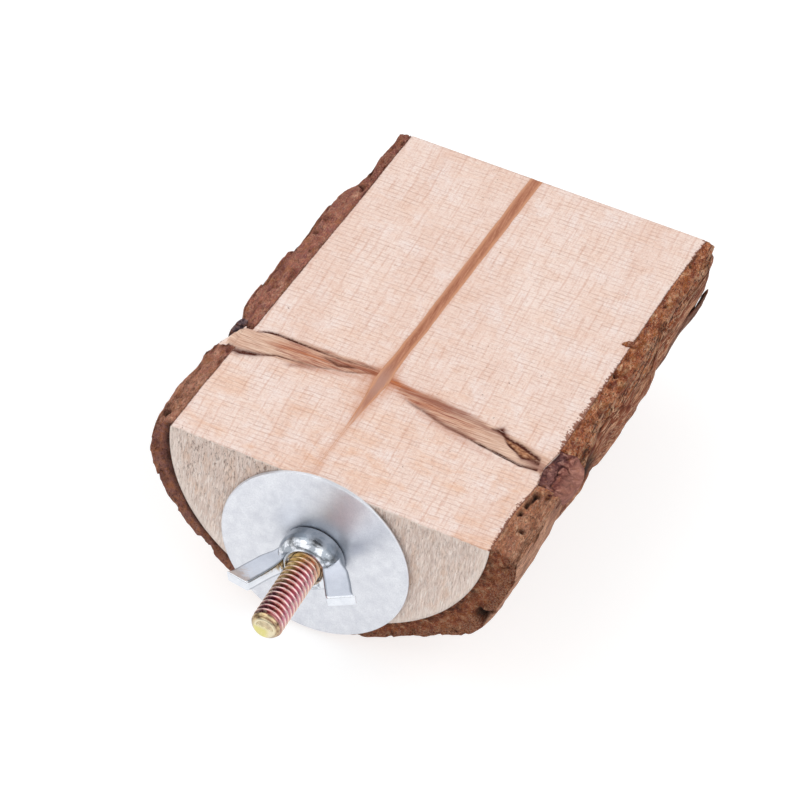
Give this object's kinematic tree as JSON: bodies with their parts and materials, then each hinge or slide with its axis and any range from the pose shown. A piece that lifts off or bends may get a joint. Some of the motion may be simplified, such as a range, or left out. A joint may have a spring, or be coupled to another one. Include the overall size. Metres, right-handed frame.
{
  "type": "bird perch",
  "caption": "Flat-topped natural wood cage perch: half a log with its bark on, held by a threaded stud, large washers and a wing nut that clamp the cage wires.",
  "frame": {"origin": "on the stud's axis, at the clamp plane where the inner and the outer washer meet", "axes": "+Z square to the sawn deck and up, +Y along the stud's axis into the wood, -Y towards the cage wires and the wing nut, +X to the right seen from the wing nut"},
  "size_m": [0.0776, 0.1258, 0.0393],
  "materials": {
    "wood": "band-sawn, bare, matt",
    "pith": "soft, matt",
    "knot": "sawn, matt",
    "bark": "rough and furrowed, matt",
    "bark_inner": "fibrous, matt",
    "yellow_zinc": "zinc plated, yellow and iridescent",
    "zinc": "zinc plated, satin",
    "bright_zinc": "zinc plated, bright, with the casting's soft edges"
  },
  "bodies": {
    "perch": {"wood_block": "wood", "pith": "pith", "knot_left": "knot", "knot_right": "knot", "bark_front": "bark", "bark_rear": "bark", "bark_flake": "bark_inner", "hanger_bolt": "yellow_zinc", "inner_washer": "zinc"},
    "outer_washer": {"outer_washer": "zinc"},
    "wing_nut": {"wing_nut": "bright_zinc"}
  },
  "joints": [
    {"name": "washer_slide", "type": "slide", "parent": "perch", "child": "outer_washer", "axis": [0, -1, 0], "range_m": [0, 0.0175]},
    {"name": "nut_spin", "type": "hinge", "parent": "outer_washer", "child": "wing_nut", "pos_m": [0, 0, 0], "axis": [0, -1, 0], "range_deg": [0, 4950]}
  ],
  "couplings": [
    {"joint": "washer_slide", "follows": "nut_spin", "m_per_rad": 0.00020213}
  ]
}
